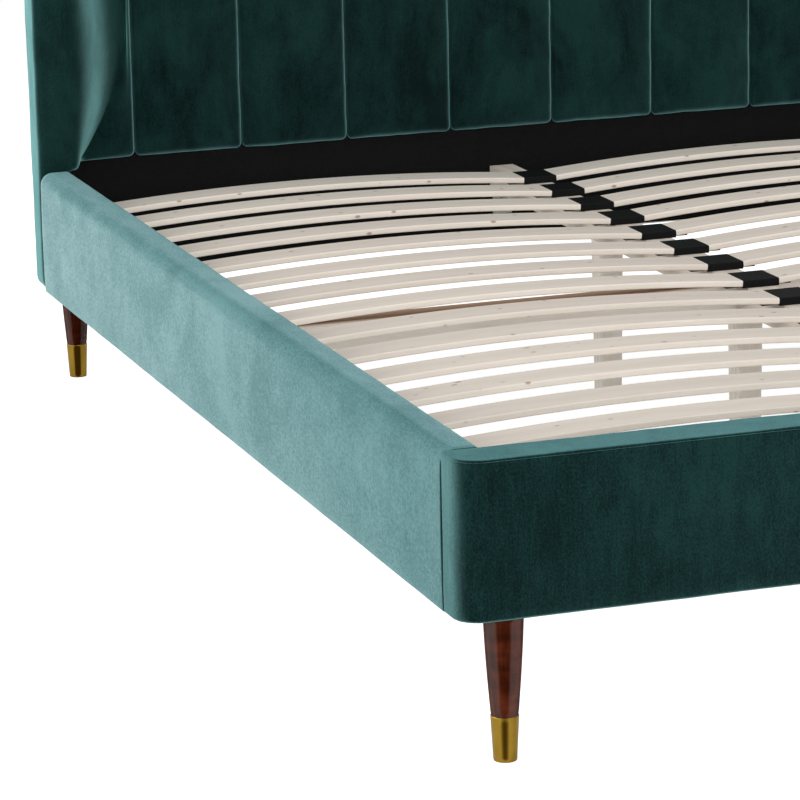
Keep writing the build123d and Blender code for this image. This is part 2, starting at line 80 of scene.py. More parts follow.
def gridCap(loop, start, base, first):
    # fills a symmetrical loop with rows of faces running from one half of it to the other
    half = len(loop) // 2
    near = [(start + step) % len(loop) for step in range(half + 1)]
    far = [(start - step) % len(loop) for step in range(half + 1)]
    points = []
    lines = [[base + index for index in near]]
    for row in range(1, capRows):
        line = [lines[0][0]]
        for step in range(1, half):
            points.append(Vector(loop[near[step]]).lerp(Vector(loop[far[step]]), row / capRows))
            line.append(first + len(points) - 1)
        lines.append(line + [lines[0][-1]])
    lines.append([base + index for index in far])
    faces = []
    for upper, lower in zip(lines, lines[1:]):
        for step in range(half):
            face = dict.fromkeys((upper[step], upper[step + 1], lower[step + 1], lower[step]))
            faces.append(tuple(face))
    return points, faces


def loftLoops(name, loops, sharpAngle=None, capStart=None):
    # closed loops with the same number of points, joined in order and filled at both ends
    size = len(loops[0])
    points = [point for loop in loops for point in loop]
    faces = []
    for row in range(len(loops) - 1):
        for step in range(size):
            a = row * size + step
            b = row * size + (step + 1) % size
            faces.append((a, b, b + size, a + size))
    last = (len(loops) - 1) * size
    faces.append(tuple(reversed(range(size))))
    if capStart is None:
        faces.append(tuple(range(last, last + size)))
    else:
        capPoints, capFaces = gridCap(loops[-1], capStart, last, len(points))
        points += capPoints
        faces += capFaces
    return facePiece(name, points, faces, sharpAngle)


def withNeighbours(items):
    # each item of a closed row between the one before it and the one after it
    return zip(items[-1:] + items[:-1], items, items[1:] + items[:1])


def insetCorners(corners, inset):
    # moves every side of an anticlockwise outline inwards and shrinks its round corners
    moved = []
    for before, (x, y, radius), after in withNeighbours(corners):
        arrive = Vector((x - before[0], y - before[1])).normalized()
        leave = Vector((after[0] - x, after[1] - y)).normalized()
        arriveIn = Vector((-arrive.y, arrive.x))
        leaveIn = Vector((-leave.y, leave.x))
        middle = (arriveIn + leaveIn).normalized()
        reach = inset / middle.dot(arriveIn)
        moved.append((x + middle.x * reach, y + middle.y * reach, max(radius - inset, leastRadius)))
    return moved


def outlineRuns(corners, pitch):
    # how many runs of about one pitch each side of an outline is cut into
    return [
        max(1, round(math.hypot(after[0] - corner[0], after[1] - corner[1]) / pitch))
        for before, corner, after in withNeighbours(corners)
    ]


def roundOutline(corners, runs, bend=6):
    # points round an outline: an arc at every corner, and each side cut into its number of runs
    arcs = []
    for before, (x, y, radius), after in withNeighbours(corners):
        corner = Vector((x, y))
        arrive = (corner - Vector(before[:2])).normalized()
        leave = (Vector(after[:2]) - corner).normalized()
        turn = math.acos(max(-1, min(1, arrive.dot(leave))))
        turnSide = 1 if arrive.x * leave.y - arrive.y * leave.x > 0 else -1
        start = corner - arrive * radius * math.tan(turn / 2)
        centre = start + Vector((-arrive.y, arrive.x)) * radius * turnSide
        spoke = start - centre
        arc = []
        for step in range(bend + 1):
            angle = turnSide * turn * step / bend
            arc.append(centre + Vector((
                spoke.x * math.cos(angle) - spoke.y * math.sin(angle),
                spoke.x * math.sin(angle) + spoke.y * math.cos(angle),
            )))
        arcs.append(arc)
    points = []
    for (before, arc, after), count in zip(withNeighbours(arcs), runs):
        points += arc + [arc[-1].lerp(after[0], step / count) for step in range(1, count)]
    return points


def edgeBends(radius, steps=4):
    # how far along and how far in the sections of a rounded end lie
    angles = [math.pi / 2 * step / steps for step in range(steps + 1)]
    return [(radius * (1 - math.cos(angle)), radius * (1 - math.sin(angle))) for angle in angles]


def evenSteps(start, end, pitch):
    count = max(1, round(abs(end - start) / pitch))
    return [start + (end - start) * step / count for step in range(1, count)]


def endedSteps(start, end, radius, pitch, bendSteps=4):
    # places from start to end, each with its inset, for a piece with both ends rounded
    bends = edgeBends(radius, bendSteps)
    places = [(start + along, inset) for along, inset in bends]
    places += [(place, 0) for place in evenSteps(start + radius, end - radius, pitch)]
    return places + [(end - along, inset) for along, inset in reversed(bends)]


def ring(centre, radius, z, count):
    angles = [2 * math.pi * step / count for step in range(count)]
    return [(centre.x + radius * math.cos(angle), centre.y + radius * math.sin(angle), z) for angle in angles]


def shares(count, first=0):
    # even parts of a whole, from first parts up to all of them
    return [step / count for step in range(first, count + 1)]


def between(low, high, share):
    return low + (high - low) * share


def smoothStep(value):
    value = max(0.0, min(1.0, value))
    return value * value * (3 - 2 * value)


wave = {"fade": 1.0, "finer": 2.1, "octaves": 3}


def restlessSurface(piece, look, further=0):
    # padding is never dead flat: soft low waves along the normals
    mesh = piece.data
    seed = look["seed"] + further
    shift = Vector((seed, seed * 0.7, -seed))
    lifts = []
    for vertex in mesh.vertices:
        place = vertex.co / look["unrestSize"] + shift
        lift = noise.fractal(place, wave["fade"], wave["finer"], wave["octaves"])
        lifts.append(vertex.normal * lift * look["unrest"])
    for vertex, lift in zip(mesh.vertices, lifts):
        vertex.co += lift
    mesh.update()


cover = {"frames": 12, "reach": 0.005, "seamFree": 0.004, "seamFade": 0.012}
fabric = {
    "quality": 5, "mass": 0.3, "tension_stiffness": 15, "compression_stiffness": 15, "shear_stiffness": 8,
    "bending_stiffness": 3.0, "tension_damping": 8, "compression_damping": 8, "air_damping": 2,
    "use_pressure": True, "uniform_pressure_force": 2.0,
}


def settleCover(piece, holdAt):
    # blows the cover up softly where it isn't sewn down or lying on timber, and keeps the result
    mesh = piece.data
    held = piece.vertex_groups.new(name="held")
    for vertex in mesh.vertices:
        held.add([vertex.index], holdAt(vertex.co), "REPLACE")
    cloth = piece.modifiers.new("cover", "CLOTH")
    cloth.settings.vertex_group_mass = held.name
    cloth.settings.effector_weights.gravity = 0
    for name, value in fabric.items():
        setattr(cloth.settings, name, value)
    cloth.collision_settings.use_collision = False
    cloth.point_cache.frame_start = 1
    cloth.point_cache.frame_end = cover["frames"]
    scene = bpy.context.scene
    for frameNumber in range(1, cover["frames"] + 1):
        scene.frame_set(frameNumber)
    settled = piece.evaluated_get(bpy.context.evaluated_depsgraph_get()).to_mesh()
    moves = [after.co - before.co for after, before in zip(settled.vertices, mesh.vertices)]
    piece.modifiers.clear()
    piece.vertex_groups.clear()
    scene.frame_set(1)
    for vertex, move in zip(mesh.vertices, moves):
        vertex.co += move * min(1, cover["reach"] / max(move.length, 1e-9))
    mesh.update()
    return max(move.length for move in moves)


def markShadedTops(piece):
    # nearly level places of a cover, which get painted shade on their colour
    share = piece.data.attributes.new("topShade", "FLOAT", "POINT")
    for vertex, entry in zip(piece.data.vertices, share.data):
        entry.value = max(0.0, vertex.normal.z) ** 3


def finishPiece(piece, material, nodes):
    piece.data.materials.clear()
    piece.data.materials.append(material)
    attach(piece, "root")
    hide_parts(*nodes)


# shader helpers

def setInputs(tree, node, inputs):
    # a plain value is set, and another node's output is wired
    for name, value in inputs.items():
        if isinstance(value, bpy.types.NodeSocket):
            tree.links.new(value, node.inputs[name])
        else:
            node.inputs[name].default_value = value


def addNode(tree, kind, inputs=None, **values):
    node = tree.nodes.new(kind)
    for key, value in values.items():
        setattr(node, key, value)
    setInputs(tree, node, inputs or {})
    return node


def newGroup(name, numbers, results):
    # a group with a vector, some numbers with their defaults, and the numbers it puts out
    tree = bpy.data.node_groups.new(name, "ShaderNodeTree")
    tree.interface.new_socket("Vector", in_out="INPUT", socket_type="NodeSocketVector")
    for number, value in numbers.items():
        tree.interface.new_socket(number, in_out="INPUT", socket_type="NodeSocketFloat").default_value = value
    for number in results:
        tree.interface.new_socket(number, in_out="OUTPUT", socket_type="NodeSocketFloat")
    return tree, addNode(tree, "NodeGroupInput").outputs, addNode(tree, "NodeGroupOutput")


def mapped(tree, vector, stretch=(1, 1, 1), turn=(0, 0, 0)):
    inputs = {"Vector": vector, "Scale": stretch, "Rotation": turn}
    return addNode(tree, "ShaderNodeMapping", inputs).outputs["Vector"]


def noiseLayer(tree, vector, stretch, scale, detail, roughness=0.55, distortion=0.0):
    return addNode(tree, "ShaderNodeTexNoise", {
        "Vector": mapped(tree, vector, stretch), "Scale": scale, "Detail": detail,
        "Roughness": roughness, "Distortion": distortion,
    }).outputs["Fac"]


def mathNode(tree, operation, a, b, clamp=False):
    return addNode(tree, "ShaderNodeMath", {0: a, 1: b}, operation=operation, use_clamp=clamp).outputs[0]


def times(tree, a, b):
    return mathNode(tree, "MULTIPLY", a, b)


def blend(tree, *layers):
    # the sum of some layers, each with its share
    total = None
    for layer, share in layers:
        part = times(tree, layer, share)
        total = part if total is None else mathNode(tree, "ADD", total, part)
    return total


def remap(tree, value, fromLow, fromHigh, toLow=0, toHigh=1, smooth=False):
    inputs = {"Value": value, "From Min": fromLow, "From Max": fromHigh, "To Min": toLow, "To Max": toHigh}
    kind = "SMOOTHSTEP" if smooth else "LINEAR"
    return addNode(tree, "ShaderNodeMapRange", inputs, interpolation_type=kind).outputs["Result"]


def mixColour(tree, factor, a, b, mode="MIX"):
    a, b = ((*value, 1) if isinstance(value, tuple) else value for value in (a, b))
    inputs = {0: factor, 6: a, 7: b}
    return addNode(tree, "ShaderNodeMix", inputs, data_type="RGBA", blend_type=mode).outputs[2]


def shadeBy(tree, colour, shade):
    return mixColour(tree, 1.0, colour, shade, "MULTIPLY")


def facingAway(tree):
    # 0 where a surface looks at the eye, 1 where it turns out of sight
    return addNode(tree, "ShaderNodeLayerWeight", {"Blend": 0.5}).outputs["Facing"]


def namedShare(tree, name):
    return addNode(tree, "ShaderNodeAttribute", attribute_name=name).outputs["Fac"]


def bumpInto(tree, shader, height, strength, distance):
    bump = addNode(tree, "ShaderNodeBump", {"Height": height, "Strength": strength, "Distance": distance})
    setInputs(tree, shader, {"Normal": bump.outputs["Normal"]})


def newMaterial(name):
    material = bpy.data.materials.new(name)
    material.use_nodes = True
    tree = material.node_tree
    place = addNode(tree, "ShaderNodeTexCoord").outputs["Object"]
    return material, tree, tree.nodes["Principled BSDF"], place


# velvet pile: streaks down the nap, cloudy patches where it was brushed, and the pile's own grain;
# each layer has its stretch, scale, detail, roughness and distortion
napLayers = {
    "fineStreak": ((1, 1, 0.10), 330, 3, 0.6),
    "broadStreak": ((1, 1, 0.22), 60, 3, 0.6),
    "cloud": ((1, 1, 0.6), 6, 6, 0.6, 0.8),
    "patch": ((1, 1, 0.7), 26, 5, 0.68, 0.4),
    "pile": ((1, 1, 0.6), 430, 3, 0.8),
}


def velvetNapGroup():
    strengths = {"Streaks": 0.5, "Clouds": 0.5, "Speckle": 0.3}
    tree, given, result = newGroup("velvetNap", strengths, ("Tone", "Height"))
    layers = {name: noiseLayer(tree, given["Vector"], *values) for name, values in napLayers.items()}
    streak = blend(tree, (layers["fineStreak"], 0.45), (layers["broadStreak"], 0.55))
    clouds = blend(tree, (layers["cloud"], 0.75), (layers["patch"], 0.25))
    swings = [
        (mathNode(tree, "SUBTRACT", layer, 0.5), given[strength])
        for layer, strength in ((streak, "Streaks"), (clouds, "Clouds"), (layers["pile"], "Speckle"))
    ]
    setInputs(tree, result, {
        "Tone": mathNode(tree, "ADD", blend(tree, *swings), 0.5, clamp=True),
        "Height": blend(tree, (layers["pile"], 0.7), (streak, 0.6)),
    })
    return tree


# timber: long grain lines, cathedral bands, pores, and knots and specks in some of the cells of a pattern
grain = {
    "warp": ((1, 1, 1), 5, 2), "lines": ((0.06, 1, 1), 420, 3, 0.65), "pores": ((0.05, 1, 1), 1400, 2, 0.7),
    "bandBend": 5, "bandDetail": 3, "bandDetailScale": 0.8, "toneRange": (0.3, 0.7),
    "spotStretch": (0.5, 1, 1),
    "knots": {"scale": 13, "inner": 0.02, "outer": 0.06, "above": 0.6},
    "specks": {"scale": 44, "inner": 0.06, "outer": 0.14, "above": 0.5},
}


def woodSpots(tree, vector, spots):
    cells = addNode(tree, "ShaderNodeTexVoronoi", {"Vector": vector, "Scale": spots["scale"]}, feature="F1")
    spot = remap(tree, cells.outputs["Distance"], spots["inner"], spots["outer"], 1, 0, smooth=True)
    return times(tree, spot, mathNode(tree, "GREATER_THAN", cells.outputs["Color"], spots["above"]))


def woodGrainGroup():
    numbers = {"Band Scale": 60.0, "Knots": 0.3}
    tree, given, result = newGroup("woodGrain", numbers, ("Tone", "Knot", "Height"))
    vector = given["Vector"]
    warp, lines, pores = (noiseLayer(tree, vector, *grain[name]) for name in ("warp", "lines", "pores"))
    bands = addNode(tree, "ShaderNodeTexWave", {
        "Vector": vector, "Scale": given["Band Scale"], "Distortion": grain["bandBend"],
        "Detail": grain["bandDetail"], "Detail Scale": grain["bandDetailScale"],
    }, wave_type="BANDS", bands_direction="Y")
    spotted = mapped(tree, vector, grain["spotStretch"])
    knots, specks = (woodSpots(tree, spotted, grain[name]) for name in ("knots", "specks"))
    setInputs(tree, result, {
        "Tone": blend(tree, (bands.outputs["Fac"], 0.3), (lines, 0.5), (warp, 0.2)),
        "Knot": times(tree, mathNode(tree, "MAXIMUM", knots, specks), given["Knots"]),
        "Height": blend(tree, (pores, 0.6), (lines, 0.4)),
    })
    return tree


velvetNap = velvetNapGroup()
woodGrain = woodGrainGroup()


# velvet with a painted sheen in its base colour: "turn" is how far a surface turns away from the eye before
# the colour goes to its middle tone, then to its pale sheen tone
headLook = {
    "deep": (0.0017, 0.0085, 0.0080), "deepLight": (0.0070, 0.0310, 0.0285),
    "middle": (0.100, 0.236, 0.234), "middleLight": (0.156, 0.348, 0.344),
    "sheenTip": (0.140, 0.318, 0.314), "sheenTipLight": (0.212, 0.462, 0.455), "topShadeTint": (0.74, 0.86, 0.88),
    "turnStart": 0.05, "turnMiddle": 0.68, "turnEnd": 0.92, "turnPower": 2.2, "brushed": (1, 1, 1),
    "streaks": 1.0, "clouds": 3.8, "speckle": 1.8, "bump": (0.3, 0.0008),
}
# the head, foot and rail copies are one velvet, each made darker or paler for how light falls on its part:
# painted light and shade
footLook = dict(
    headLook, deep=(0.0018, 0.0085, 0.0085), deepLight=(0.0062, 0.0285, 0.0275),
    middle=(0.060, 0.145, 0.143), middleLight=(0.095, 0.215, 0.213),
    sheenTip=(0.080, 0.185, 0.188), sheenTipLight=(0.130, 0.275, 0.278),
    turnStart=0.08, turnMiddle=0.60, turnEnd=0.80, turnPower=0, streaks=1.8, clouds=3.0, speckle=3.2,
)
railLook = dict(
    headLook, middle=(0.088, 0.190, 0.196), middleLight=(0.145, 0.282, 0.290),
    sheenTip=(0.176, 0.308, 0.316), sheenTipLight=(0.300, 0.452, 0.460), brushed=(1, 0.38, 1),
    turnStart=0.08, turnMiddle=0.69, turnEnd=0.79, turnPower=0, streaks=1.1, speckle=3.6,
)


def velvetMaterial(name, look):
    # painted sheen: the colour is dark where the surface looks at the eye and pale where it turns away
    material, tree, shader, place = newMaterial(name)
    nap = addNode(tree, "ShaderNodeGroup", {
        "Vector": mapped(tree, place, look["brushed"]), "Streaks": look["streaks"], "Clouds": look["clouds"],
        "Speckle": look["speckle"],
    }, node_tree=velvetNap).outputs
    face, middle, edge = (
        mixColour(tree, nap["Tone"], look[tone], look[tone + "Light"]) for tone in ("deep", "middle", "sheenTip")
    )
    # painted sheen, from the face tone to the middle tone and on to the pale sheen tone as the surface turns
    # away
    facing = facingAway(tree)
    start, halfway, end = look["turnStart"], look["turnMiddle"], look["turnEnd"]
    if look["turnPower"]:
        turn = mathNode(tree, "POWER", remap(tree, facing, start, halfway), look["turnPower"])
    else:
        turn = remap(tree, facing, start, halfway, smooth=True)
    sheenRim = remap(tree, facing, halfway, end)
    colour = mixColour(tree, sheenRim, mixColour(tree, turn, face, middle), edge)
    # painted shade: nearly level faces are darkened, toning down the painted sheen on the tops
    colour = mixColour(tree, namedShare(tree, "topShade"), colour, shadeBy(tree, colour, look["topShadeTint"]))
    setInputs(tree, shader, {
        "Base Color": colour, "Roughness": 0.9, "Specular IOR Level": 0.05,
        "Sheen Weight": 0.02, "Sheen Tint": (0.7, 0.9, 0.9, 1),
    })
    bumpInto(tree, shader, nap["Height"], *look["bump"])
    return material


velvet = velvetMaterial("tealVelvet", headLook)
velvetFoot = velvetMaterial("tealVelvetFoot", footLook)
velvetRail = velvetMaterial("tealVelvetRail", railLook)


# timber: limed slats, plain frame timber, plywood, and the walnut of the legs
alongX, alongY, alongZ = (0, 0, 0), (0, 0, math.pi / 2), (0, math.pi / 2, 0)
frameLook = {
    "dark": (0.56, 0.49, 0.42), "light": (0.68, 0.61, 0.53), "knotColour": (0.32, 0.20, 0.14), "knots": 0.25,
    "bandScale": 12, "turn": alongY, "roughness": (0.68, 0.56), "specular": 0.25, "bump": (0.08, 0.0006),
}
slatLook = dict(
    frameLook, dark=(0.640, 0.575, 0.505), light=(0.685, 0.620, 0.550), knots=0.9, bandScale=7, turn=alongX,
    toneRange=(0.97, 1.03), sideLightRange=(0.25, 0.6), paintedSideLight=1.17,
)
# the posts and the cross rail are paler copies of the frame timber: painted light, to make up for the shade
# under the slats
postLook = dict(frameLook, dark=(0.80, 0.73, 0.64), light=(0.93, 0.87, 0.79), turn=alongZ, bandScale=22)
crossLook = dict(
    frameLook, dark=(0.82, 0.74, 0.65), light=(0.92, 0.85, 0.77), turn=alongX,
    shadedTop=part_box("cross_rail_left")[1].z, shadedDepth=(0.0035, 0.0005), paintedShadeColour=(0.36, 0.225, 0.14),
)
panelLook = dict(frameLook, dark=(0.33, 0.24, 0.15), light=(0.50, 0.39, 0.27), bandScale=7, turn=alongZ)
walnutLook = {
    "dark": (0.030, 0.0050, 0.0020), "light": (0.070, 0.0150, 0.0060), "knotColour": (0.016, 0.003, 0.001),
    "knots": 0.5, "bandScale": 18, "turn": alongZ, "roughness": (0.51, 0.39), "specular": 0.0,
    "bump": (0.02, 0.0006), "figure": ((0.35, 0.35, 1), 62, 2, 0.5), "mottle": (0.35, 0.65, 0.65, 1.35),
    "coat": 0.85, "coatRoughness": 0.06, "coatLift": (0.095, 0.155), "coatFall": (0.38, 0.62),
    "coatRim": 0.25,
}


def woodMaterial(name, look):
    material, tree, shader, place = newMaterial(name)
    wood = addNode(tree, "ShaderNodeGroup", {
        "Vector": mapped(tree, place, turn=look["turn"]),
        "Band Scale": look["bandScale"], "Knots": look["knots"],
    }, node_tree=woodGrain).outputs
    colour = mixColour(tree, remap(tree, wood["Tone"], *grain["toneRange"]), look["dark"], look["light"])
    colour = mixColour(tree, wood["Knot"], colour, look["knotColour"])
    if "mottle" in look:
        cloud = noiseLayer(tree, place, *look["figure"])
        colour = shadeBy(tree, colour, remap(tree, cloud, *look["mottle"]))
    if "shadedTop" in look:
        # painted shade: the top face, in shadow under the slats, is painted brown
        height = addNode(tree, "ShaderNodeSeparateXYZ", {"Vector": place}).outputs["Z"]
        low, high = (look["shadedTop"] - depth for depth in look["shadedDepth"])
        colour = mixColour(tree, remap(tree, height, low, high), colour, look["paintedShadeColour"])
    if "toneRange" in look:
        # each slat a little paler or darker, and painted light: the faces and rounded edges turned to the
        # front and back are paler
        colour = shadeBy(tree, colour, remap(tree, namedShare(tree, "slatTone"), 0, 1, *look["toneRange"]))
        edge = remap(tree, namedShare(tree, "slatSideFacing"), *look["sideLightRange"], 1, look["paintedSideLight"], smooth=True)
        colour = shadeBy(tree, colour, edge)
    setInputs(tree, shader, {
        "Base Color": colour, "Roughness": remap(tree, wood["Tone"], 0, 1, *look["roughness"]),
        "Specular IOR Level": look["specular"],
    })
    if "coat" in look:
        # the lacquer mirrors the bright sides of the studio and stays dark in the middle of a round leg
        facing = facingAway(tree)
        lift = remap(tree, facing, *look["coatLift"], 0, look["coat"], smooth=True)
        fall = remap(tree, facing, *look["coatFall"], 1, look["coatRim"], smooth=True)
        setInputs(tree, shader, {
            "Coat Weight": times(tree, lift, fall), "Coat Roughness": look["coatRoughness"],
        })
    bumpInto(tree, shader, wood["Height"], *look["bump"])
    return material


slatWood = woodMaterial("limedSlatWood", slatLook)
frameWood = woodMaterial("frameTimber", frameLook)
postWood = woodMaterial("postTimber", postLook)
crossWood = woodMaterial("crossTimber", crossLook)
panelWood = woodMaterial("panelPlywood", panelLook)
walnut = woodMaterial("walnutLacquer", walnutLook)


# black lining, black plastic and metals
liningLook = {
    "fine": ((1, 1, 0.4), 700, 4, 0.7), "broad": ((1, 1, 1), 60, 3), "tone": ("fine", 0.35, 0.7),
    "dark": (0.0024, 0.0024, 0.0024), "light": (0.0070, 0.0070, 0.0070),
    "roughness": (0, 1, 0.82, 0.98), "specular": 0.1, "bump": (0.4, 0.0006),
}
plasticLook = {
    "fine": ((1, 1, 1), 1800, 2), "broad": ((1, 1, 1), 90, 3), "tone": ("broad", 0, 1),
    "dark": (0.0012, 0.0012, 0.0013), "light": (0.0030, 0.0030, 0.0032),
    "roughness": (0.2, 0.8, 0.55, 0.7), "specular": 0.12, "bump": (0.12, 0.0002),
}
brassLook = {
    "facing": (0.050, 0.022, 0.0015), "side": (0.36, 0.225, 0.030), "turn": (0.065, 0.135),
    "brush": ((1, 1, 8), 900, 3, 0.6), "cloud": ((1, 1, 1), 70, 3), "shade": (0.3, 0.7, 0.88, 1.08),
    "roughness": (0.3, 0.7, 0.25, 0.37), "bump": (0.05, 0.0002),
}
steelLook = dict(
    brassLook, facing=(0.40, 0.40, 0.41), side=(0.55, 0.55, 0.55), brush=((1, 1, 1), 900, 3, 0.6),
    roughness=(0.3, 0.7, 0.33, 0.45),
)


def blackMaterial(name, look):
    material, tree, shader, place = newMaterial(name)
    layers = {layer: noiseLayer(tree, place, *look[layer]) for layer in ("fine", "broad")}
    layer, low, high = look["tone"]
    tone = remap(tree, layers[layer], low, high)
    setInputs(tree, shader, {
        "Base Color": mixColour(tree, tone, look["dark"], look["light"]),
        "Roughness": remap(tree, layers["broad"], *look["roughness"]), "Specular IOR Level": look["specular"],
    })
    bumpInto(tree, shader, layers["fine"], *look["bump"])
    return material


def metalMaterial(name, look):
    material, tree, shader, place = newMaterial(name)
    brush, cloud = (noiseLayer(tree, place, *look[layer]) for layer in ("brush", "cloud"))
    # painted reflection: the metal is dark where it faces the eye and bright where it turns away, as if
    # mirroring the bright sides of the studio
    turn = remap(tree, facingAway(tree), *look["turn"], smooth=True)
    body = mixColour(tree, turn, look["facing"], look["side"])
    setInputs(tree, shader, {
        "Base Color": shadeBy(tree, body, remap(tree, cloud, *look["shade"])),
        "Roughness": remap(tree, brush, *look["roughness"]), "Metallic": 1,
    })
    bumpInto(tree, shader, brush, *look["bump"])
    return material


lining = blackMaterial("blackLining", liningLook)
blackPlastic = blackMaterial("blackPlastic", plasticLook)
brass = metalMaterial("satinBrass", brassLook)
steel = metalMaterial("zincSteel", steelLook)
print("materials made:", len(bpy.data.materials))


# side rails
sideRail = {
    "outerRadius": 0.020, "innerRadius": 0.007, "hemRadius": 0.003, "endRadius": 0.0035, "headGap": 0.0028,
    "profilePitch": 0.009, "stationPitch": 0.012, "crown": 0.0012,
    "unrest": 0.0005, "unrestSize": 0.11, "seed": 3, "fill": 0.9,
}


def makeSideRail(hand, side):
    node = "side_cover_" + hand
    low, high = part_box(node)
    endY = high.y - sideRail["headGap"]
    outer, inner = -halfWidth, -railInnerX
    corners = [
        (outer, low.z, sideRail["hemRadius"]),
        (inner, low.z, sideRail["hemRadius"]),
        (inner, high.z, sideRail["innerRadius"]),
        (outer, high.z, sideRail["outerRadius"]),
    ]
    runs = outlineRuns(corners, sideRail["profilePitch"])
    loops = []
    middleZ = (low.z + high.z) / 2
    for y, inset in endedSteps(low.y, endY, sideRail["endRadius"], sideRail["stationPitch"]):
        loop = []
        for point in roundOutline(insetCorners(corners, inset), runs):
            share = 1 - ((point.y - middleZ) / (high.z - middleZ)) ** 2
            bulge = sideRail["crown"] * max(0, share)
            x = point.x + (-bulge if point.x < (outer + inner) / 2 else bulge)
            loop.append((-side * x, y, point.y))
        loops.append(loop)
    rail = loftLoops("rail_" + hand, loops)
    restlessSurface(rail, sideRail, side)
    markShadedTops(rail)
    finishPiece(rail, velvetRail, [node])


for hand, side in sides.items():
    makeSideRail(hand, side)
print("side rails made")


# footboard, with a sewn edge where the top strip meets the front
footboard = {
    "cornerRadius": 0.036, "backRadius": 0.003, "edgeRadius": 0.0032, "hemRadius": 0.004, "hemTurn": 0.014,
    "hemClose": 0.004, "pitch": 0.011, "levelPitch": 0.012, "bend": 10, "endRuns": 6, "edgeSteps": 5,
    "seamDrop": 0.0040, "seamClear": 0.004, "seamHalf": 0.0006,
    "seam": ((-3, 0), (-2, 0), (-1, 0.0003), (0, 0.0007), (1, 0.0002)), "topRings": (0.006, 0.010),
    "unrest": 0.0006, "unrestSize": 0.08, "seed": 7, "fill": 0.9,
}


def makeFootboard():
    low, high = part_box("foot_cover")
    corners = [
        (low.x, high.y, footboard["backRadius"]),
        (low.x, low.y, footboard["cornerRadius"]),
        (high.x, low.y, footboard["cornerRadius"]),
        (high.x, high.y, footboard["backRadius"]),
    ]
    runs = outlineRuns(corners, footboard["pitch"])
    runs[0] = runs[2] = footboard["endRuns"]
    halfDepth = (high.y - low.y) / 2
    hemTop = low.z + footboard["hemRadius"]
    seamZ = high.z - footboard["seamDrop"]
    levels = [(low.z, halfDepth - footboard["hemClose"]), (low.z, footboard["hemTurn"])]
    levels += [(low.z + along, inset) for along, inset in edgeBends(footboard["hemRadius"])]
    levels += [(z, 0) for z in evenSteps(hemTop, seamZ - footboard["seamClear"], footboard["levelPitch"])]
    levels += [(seamZ + step * footboard["seamHalf"], inset) for step, inset in footboard["seam"]]
    edge = edgeBends(footboard["edgeRadius"], footboard["edgeSteps"])
    levels += [(high.z - along, inset) for along, inset in reversed(edge)]
    levels += [(high.z, inset) for inset in footboard["topRings"]]
    loops = []
    for z, inset in levels:
        outline = roundOutline(insetCorners(corners, inset), runs, bend=footboard["bend"])
        loops.append([(point.x, point.y, z) for point in outline])
    board = loftLoops("footboard", loops, capStart=footboard["bend"] + 1 + runs[0] // 2)
    restlessSurface(board, footboard)
    markShadedTops(board)
    finishPiece(board, velvetFoot, ["foot_cover"])


makeFootboard()
print("footboard made")


# wings of the headboard: flat face, flared side, and the fold that runs on into the narrow channel
wing = {
    "cornerRadius": 0.013, "leastCorner": 0.002, "straightDepth": 0.050, "backDepth": 0.172,
    "panelDepth": 0.1025, "hemRadius": 0.018, "hemInset": 0.010, "topRadius": 0.012, "bendSteps": 6,
    "levelPitch": 0.010, "flareSteps": 9, "sideSteps": 4, "cornerSteps": 6, "faceSteps": 6,
    "innerSide": ((0.0003, 0.001), (0.006, 0.012)), "innerBack": ((0.010, -0.03), (0.012, 0)),
    "panelLift": 0.0006, "foldClear": 0.004, "foldEdge": 0.0004,
    "unrest": 0.0012, "unrestSize": 0.09, "seed": 11, "fill": 0.8,
}
fold = {
    "bottom": 0.393, "full": 0.660, "lowReach": 0.025, "fullReach": 0.063, "lowWidth": 0.026,
    "fullWidth": 0.118, "lowPinch": 1.5, "fullPinch": 1.0, "tail": 0.9, "early": 0.012, "earlyShare": 0.3,
    "earlyRise": 4, "railGap": 0.0008, "softShare": 0.6, "coreStart": 0.08, "coreSpan": 0.72, "steps": 30,
}
narrowChannel = {
    "floorDepth": 0.089, "crown": 0.004, "lip": 0.008, "corner": 0.011, "lipCurl": 0.9,
    "rolledLip": 0.6, "rolledDrop": 0.003, "floorSteps": 8, "lipSteps": 5,
}
channelsAcross = 9
channelPitch = 2 * halfWidth / channelsAcross


